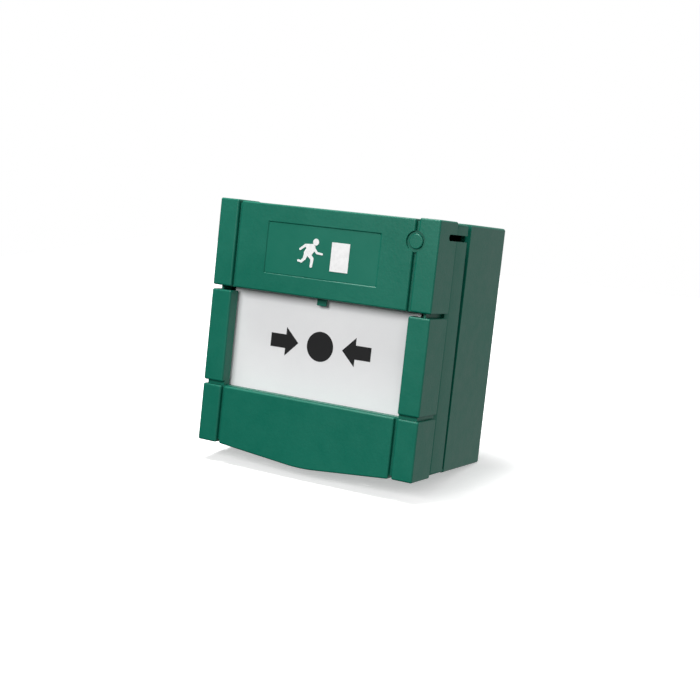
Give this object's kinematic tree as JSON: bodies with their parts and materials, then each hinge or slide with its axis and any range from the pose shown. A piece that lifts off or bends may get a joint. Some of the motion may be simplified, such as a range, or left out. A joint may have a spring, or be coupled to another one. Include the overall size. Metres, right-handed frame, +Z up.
{
  "type": "manual call point",
  "caption": "Green surface-mounted resettable manual call point: hinged cover, white push element with black dot and arrows, alarm flag, key reset and back box.",
  "frame": {"origin": "centre of the back box's face that lies on the wall", "axes": "+X right, +Y into the wall, +Z up, seen from the front"},
  "size_m": [0.089, 0.0595, 0.093],
  "materials": {
    "green_plastic": "fine sparked grain",
    "sign_green": "smooth print",
    "white_plastic": "smooth",
    "white_print": "ink",
    "black_print": "ink",
    "steel": "bright zinc",
    "brass": "bright",
    "board": "solder resist",
    "black_plastic": "moulded",
    "red_plastic": "moulded",
    "natural_plastic": "moulded acetal",
    "flag_yellow": "smooth",
    "terminal_green": "moulded"
  },
  "bodies": {
    "housing": {"back_box": "green_plastic", "chassis": "green_plastic", "chassis_screws": "steel", "circuit_board": "board", "board_screws": "steel", "terminal_block": "terminal_green", "terminal_screws": "steel", "terminal_clamps": "brass", "switch_case": "black_plastic", "switch_screws": "steel", "switch_blades": "brass", "lever_pin": "steel", "lever_spring": "steel", "cover_latch": "natural_plastic", "latch_springs": "steel"},
    "cover": {"front_cover": "green_plastic", "sign_panel": "sign_green", "sign_marks": "white_print", "indicator_blank": "green_plastic"},
    "element": {"operating_element": "white_plastic", "element_marks": "black_print"},
    "lever": {"trip_lever": "natural_plastic"},
    "leaf": {"switch_leaf": "steel"},
    "plunger": {"switch_plunger": "red_plastic"},
    "flag": {"alarm_flag": "flag_yellow"},
    "key": {"key_barrel": "black_plastic", "barrel_clip": "steel"},
    "slide": {"test_slide": "natural_plastic"}
  },
  "joints": [
    {"name": "cover_open", "type": "hinge", "parent": "housing", "child": "cover", "pos_m": [0, -0.0448, 0.045], "axis": [-1, 0, 0], "range_deg": [0, 75], "deforming": ["cover_latch", "latch_springs"]},
    {"name": "element_press", "type": "hinge", "parent": "housing", "child": "element", "pos_m": [0, -0.0524, -0.0262], "axis": [-1, 0, 0], "range_deg": [0, 6], "deforming": ["lever_spring"]},
    {"name": "lever_swing", "type": "hinge", "parent": "housing", "child": "lever", "pos_m": [0, -0.0492, 0.028], "axis": [1, 0, 0], "range_deg": [0, 15.01]},
    {"name": "leaf_swing", "type": "hinge", "parent": "housing", "child": "leaf", "pos_m": [0, -0.045, 0.031], "axis": [1, 0, 0], "range_deg": [0, 7.21]},
    {"name": "plunger_slide", "type": "slide", "parent": "housing", "child": "plunger", "axis": [0, 1, 0], "range_m": [0, 0.00061]},
    {"name": "flag_drop", "type": "slide", "parent": "housing", "child": "flag", "axis": [0, 0, -1], "range_m": [0, 0.00801]},
    {"name": "key_turn", "type": "hinge", "parent": "housing", "child": "key", "pos_m": [0, -0.052, -0.035], "axis": [0, 0, -1], "range_deg": [0, 90]},
    {"name": "slide_lift", "type": "slide", "parent": "housing", "child": "slide", "axis": [0, 0, 1], "range_m": [0, 0.00198]}
  ],
  "couplings": [
    {"joint": "lever_swing", "follows": "element_press", "ratio": 2.5},
    {"joint": "leaf_swing", "follows": "element_press", "ratio": 1.2},
    {"joint": "plunger_slide", "follows": "element_press", "m_per_rad": 0.0057296},
    {"joint": "flag_drop", "follows": "element_press", "m_per_rad": 0.076394},
    {"joint": "key_turn", "follows": "slide_lift", "rad_per_m": 793.3}
  ]
}
